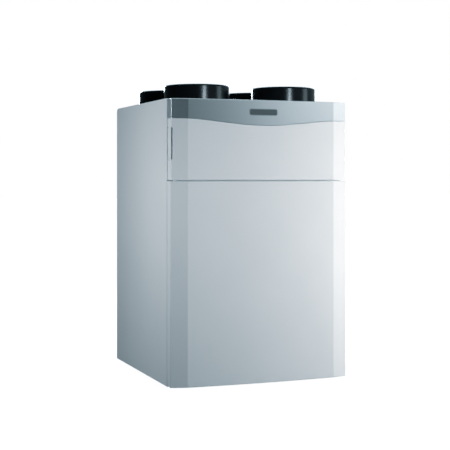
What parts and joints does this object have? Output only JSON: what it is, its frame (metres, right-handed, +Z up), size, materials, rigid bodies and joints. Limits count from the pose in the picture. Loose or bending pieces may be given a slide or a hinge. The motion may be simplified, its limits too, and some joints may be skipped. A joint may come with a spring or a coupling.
{
  "type": "heat recovery ventilation unit",
  "caption": "Upright heat recovery ventilation unit: white steel casing with a crowned front, wave-edged upper cover, silver fascia band and round duct collars on top.",
  "frame": {"origin": "centre of the footprint (the bounding box's middle in X and Y) on the floor plane that the casing's lower edge rests on", "axes": "+Z up, -Y out of the front, +X to the right as seen from the front"},
  "size_m": [0.595, 0.631, 0.935],
  "materials": {
    "white_paint": "satin",
    "cover_plastic": "satin",
    "silver_lacquer": "satin",
    "badge": "satin",
    "black_plastic": "satin",
    "grey_plastic": "matte",
    "foam": "matte",
    "zinc_steel": "satin",
    "rubber_seal": "matte",
    "exchanger_sheet": "satin",
    "filter_card": "matte",
    "filter_fleece": "matte",
    "strap_web": "matte",
    "cast_metal": "matte",
    "board": "satin",
    "display": "gloss",
    "key_cap": "satin"
  },
  "bodies": {
    "casing": {"left_side_panel": "white_paint", "right_side_panel": "white_paint", "back_panel": "white_paint", "top_plate": "white_paint", "base_pan": "zinc_steel", "front_frame": "zinc_steel", "stud_sockets": "black_plastic", "fascia_band": "silver_lacquer", "nameplate": "badge", "casing_screws": "zinc_steel", "collar_front_left": "black_plastic", "collar_front_right": "black_plastic", "collar_rear_left": "black_plastic", "collar_rear_right": "black_plastic", "collar_seals": "rubber_seal", "foam_base": "foam", "foam_top": "foam", "inlet_ring_left": "grey_plastic", "inlet_ring_right": "grey_plastic", "fan_motor_left": "cast_metal", "fan_motor_right": "cast_metal", "fan_bracket_left": "zinc_steel", "fan_bracket_right": "zinc_steel", "bypass_frame": "grey_plastic", "bypass_actuator": "grey_plastic", "condensate_tray": "grey_plastic", "drain_stub": "grey_plastic", "control_box": "grey_plastic", "control_cover": "grey_plastic", "circuit_board": "board", "display_window": "display", "wiring_loom": "rubber_seal", "sensor_probes": "zinc_steel", "mains_inlet": "black_plastic", "control_grommet": "rubber_seal", "hanging_bracket": "zinc_steel", "wall_rail": "zinc_steel", "wall_buffers": "rubber_seal"},
    "upper_cover": {"upper_front_cover": "cover_plastic", "cover_grips": "cover_plastic", "cover_studs": "zinc_steel"},
    "filter_cap_left": {"filter_cap_left": "grey_plastic"},
    "filter_cap_right": {"filter_cap_right": "grey_plastic"},
    "filter_left": {"filter_frame_left": "filter_card", "filter_media_left": "filter_fleece"},
    "filter_right": {"filter_frame_right": "filter_card", "filter_media_right": "filter_fleece"},
    "lower_panel": {"lower_front_panel": "white_paint", "panel_studs": "zinc_steel"},
    "hatch": {"foam_hatch": "foam", "hatch_seal": "rubber_seal"},
    "exchanger": {"exchanger_core": "exchanger_sheet", "exchanger_frame": "grey_plastic", "exchanger_strap": "strap_web"},
    "impeller_left": {"impeller_left": "black_plastic"},
    "impeller_right": {"impeller_right": "black_plastic"},
    "bypass_damper": {"bypass_blade": "cast_metal"},
    "key_up": {"key_up": "key_cap"},
    "key_down": {"key_down": "key_cap"},
    "key_set": {"key_set": "key_cap"}
  },
  "joints": [
    {"name": "upper_cover_pull", "type": "slide", "parent": "casing", "child": "upper_cover", "axis": [0, -1, 0], "range_m": [0, 0.6]},
    {"name": "filter_cap_left_pull", "type": "slide", "parent": "casing", "child": "filter_cap_left", "axis": [0, -1, 0], "range_m": [0, 0.45]},
    {"name": "filter_cap_right_pull", "type": "slide", "parent": "casing", "child": "filter_cap_right", "axis": [0, -1, 0], "range_m": [0, 0.45]},
    {"name": "filter_left_pull", "type": "slide", "parent": "casing", "child": "filter_left", "axis": [0, -1, 0], "range_m": [0, 0.348]},
    {"name": "filter_right_pull", "type": "slide", "parent": "casing", "child": "filter_right", "axis": [0, -1, 0], "range_m": [0, 0.348]},
    {"name": "lower_panel_pull", "type": "slide", "parent": "casing", "child": "lower_panel", "axis": [0, -1, 0], "range_m": [0, 0.6]},
    {"name": "hatch_pull", "type": "slide", "parent": "casing", "child": "hatch", "axis": [0, -1, 0], "range_m": [0, 0.45]},
    {"name": "exchanger_pull", "type": "slide", "parent": "casing", "child": "exchanger", "axis": [0, -1, 0], "range_m": [0, 0.3]},
    {"name": "impeller_left_spin", "type": "hinge", "parent": "casing", "child": "impeller_left", "pos_m": [-0.152, 0.13, 0.195], "axis": [0, 1, 0], "continuous": true},
    {"name": "impeller_right_spin", "type": "hinge", "parent": "casing", "child": "impeller_right", "pos_m": [0.152, 0.13, 0.195], "axis": [0, 1, 0], "continuous": true},
    {"name": "bypass_turn", "type": "hinge", "parent": "casing", "child": "bypass_damper", "pos_m": [-0.029, 0.03, 0.638], "axis": [0, 1, 0], "range_deg": [0, 90]},
    {"name": "key_up_press", "type": "slide", "parent": "casing", "child": "key_up", "axis": [0, 1, 0], "range_m": [0, 0.001], "stiffness_N_per_m": 600},
    {"name": "key_down_press", "type": "slide", "parent": "casing", "child": "key_down", "axis": [0, 1, 0], "range_m": [0, 0.001], "stiffness_N_per_m": 600},
    {"name": "key_set_press", "type": "slide", "parent": "casing", "child": "key_set", "axis": [0, 1, 0], "range_m": [0, 0.001], "stiffness_N_per_m": 600}
  ],
  "couplings": [
    {"joint": "filter_cap_left_pull", "follows": "upper_cover_pull", "ratio": 0.75},
    {"joint": "filter_cap_right_pull", "follows": "upper_cover_pull", "ratio": 0.75},
    {"joint": "filter_left_pull", "follows": "upper_cover_pull", "ratio": 0.58},
    {"joint": "filter_right_pull", "follows": "upper_cover_pull", "ratio": 0.58},
    {"joint": "hatch_pull", "follows": "lower_panel_pull", "ratio": 0.75},
    {"joint": "exchanger_pull", "follows": "lower_panel_pull", "ratio": 0.5}
  ]
}
